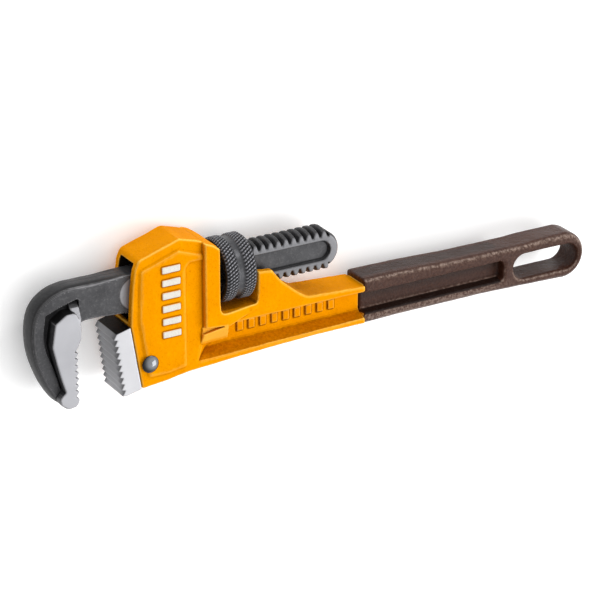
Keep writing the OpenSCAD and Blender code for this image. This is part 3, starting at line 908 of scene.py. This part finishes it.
def domed_pin():
    """A plain pin with a low domed head on the near side."""
    half, head_r, head_h, skirt = PANEL_HALF, 4.1, 1.9, 0.35
    dome_h = head_h - skirt
    ball = (head_r**2 + dome_h**2) / (2 * dome_h)
    dome = [
        (ball * math.sin(a), half + head_h - ball * (1 - math.cos(a)))
        for a in np.linspace(math.asin(head_r / ball), 0.0, 18)[:-1]
    ]
    profile = [
        (0.02, -half), (1.9, -half), (2.3, -half + 0.1), (PIN_R, -half + 0.4), (PIN_R, half - 0.02),
        (head_r - 0.12, half), (head_r, half + 0.12), *dome, (0.02, half + head_h),
    ]  # fmt: skip
    r, along = np.array(profile).T
    points, quads = ring_mesh(along, np.repeat(r[:, None], 72, 1))
    points = points[:, [1, 2, 0]] + np.array([*PIN_AT, 0])
    # the rim is darker than the crown, which faces the light
    crown = np.array(PIN_AT) + head_r * np.array([0.125, 0.225])
    rim = np.hypot(*(points[:, :2] - crown).T) / head_r
    marks = {"painted_shade": 0.9 * smooth_step(rim, 0.45, 1.05)}
    return place(
        "domed_pin", points, quads, None, marks, "wrench_body", "heel_jaw_pin", PLATED
    )


domed_pin()

for name in ("coil_spring", "flat_spring"):
    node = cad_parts[name]
    node.data.materials.clear()
    node.data.materials.append(SPRING)


# ---- Floor, light and camera ----

WHITE = (1.0, 1.0, 1.0, 1.0)


def floor_plane():
    half = 3.0
    corners = [(-half, -half, 0), (half, -half, 0), (half, half, 0), (-half, half, 0)]
    mesh = bpy.data.meshes.new("floor")
    mesh.from_pydata(corners, [], [(0, 1, 2, 3)])
    glow = {"Emission_Color": WHITE, "Emission_Strength": 0.18}
    s = Shader("pale_floor", Roughness=0.9, Specular_IOR_Level=0.1, **glow)
    tint = s.blend(s.span(s.noise(60, 2), 0.3, 0.7), (0.93, 0.93, 0.93, 1), (0.95, 0.95, 0.95, 1))
    mesh.materials.append(s.finish(Base_Color=tint))
    floor = bpy.data.objects.new("floor", mesh)
    bpy.context.scene.collection.objects.link(floor)


floor_plane()


def soft_light(name, offset, length, width, power):
    """An area light, offset in metres from the middle of the wrench and aimed at it, long along x."""
    data = bpy.data.lights.new(name, "AREA")
    data.shape, data.size, data.size_y, data.energy = "RECTANGLE", length, width, power
    lamp = bpy.data.objects.new(name, data)
    bpy.context.scene.collection.objects.link(lamp)
    away = Vector(offset).normalized()
    across = away.cross(Vector((1, 0, 0))).normalized()
    axes = Matrix((across.cross(away), across, away)).transposed()
    lamp.matrix_world = Matrix.Translation(Vector(offset)) @ axes.to_4x4()


soft_light("key", (0.8, -0.3, 0.9), 0.8, 0.8, 5)
soft_light("strip", (0.6, 1.03, 0.52), 0.6, 0.1, 3.6)


def studio_sky(bright_side, dimmest, brightest):
    """A plain white sky that fades from its bright side to the side across from it."""
    world = bpy.data.worlds.new("studio")
    world.use_nodes = True
    sky = world.node_tree
    towards = sky.nodes.new("ShaderNodeVectorMath")
    towards.operation = "DOT_PRODUCT"
    towards.inputs[1].default_value = bright_side
    level = sky.nodes.new("ShaderNodeMapRange")
    for key, value in (("From Min", -1), ("From Max", 1), ("To Min", dimmest), ("To Max", brightest)):
        level.inputs[key].default_value = value
    background = sky.nodes["Background"].inputs
    background["Color"].default_value = WHITE
    sky.links.new(sky.nodes.new("ShaderNodeTexCoord").outputs["Generated"], towards.inputs[0])
    sky.links.new(towards.outputs["Value"], level.inputs["Value"])
    sky.links.new(level.outputs[0], background["Strength"])
    bpy.context.scene.world = world
    bpy.context.scene.view_settings.view_transform = "Standard"


def set_camera(azimuth, elevation, focal, distance, pan, rise):
    """A camera that looks at the nut, seen from an azimuth and elevation in degrees, then shifted."""
    a, e = math.radians(azimuth), math.radians(elevation)
    right = Vector((math.cos(a), 0, math.sin(a)))
    away = Vector((-math.sin(a) * math.cos(e), math.sin(e), math.cos(a) * math.cos(e)))
    up = away.cross(right)
    lens = bpy.data.cameras.new("camera")
    lens.lens, lens.sensor_width = focal, 36
    camera = bpy.data.objects.new("camera", lens)
    bpy.context.scene.collection.objects.link(camera)
    place_at = Matrix.Translation(ORIGIN + distance * away + pan * right + rise * up)
    camera.matrix_world = place_at @ Matrix((right, up, away)).transposed().to_4x4()
    bpy.context.scene.camera = camera


studio_sky(bright_side=(0.78, -0.2, 0.59), dimmest=0.12, brightest=1.5)
set_camera(azimuth=30.259, elevation=23.599, focal=167.3, distance=1.2565, pan=0.0262, rise=-0.0165)
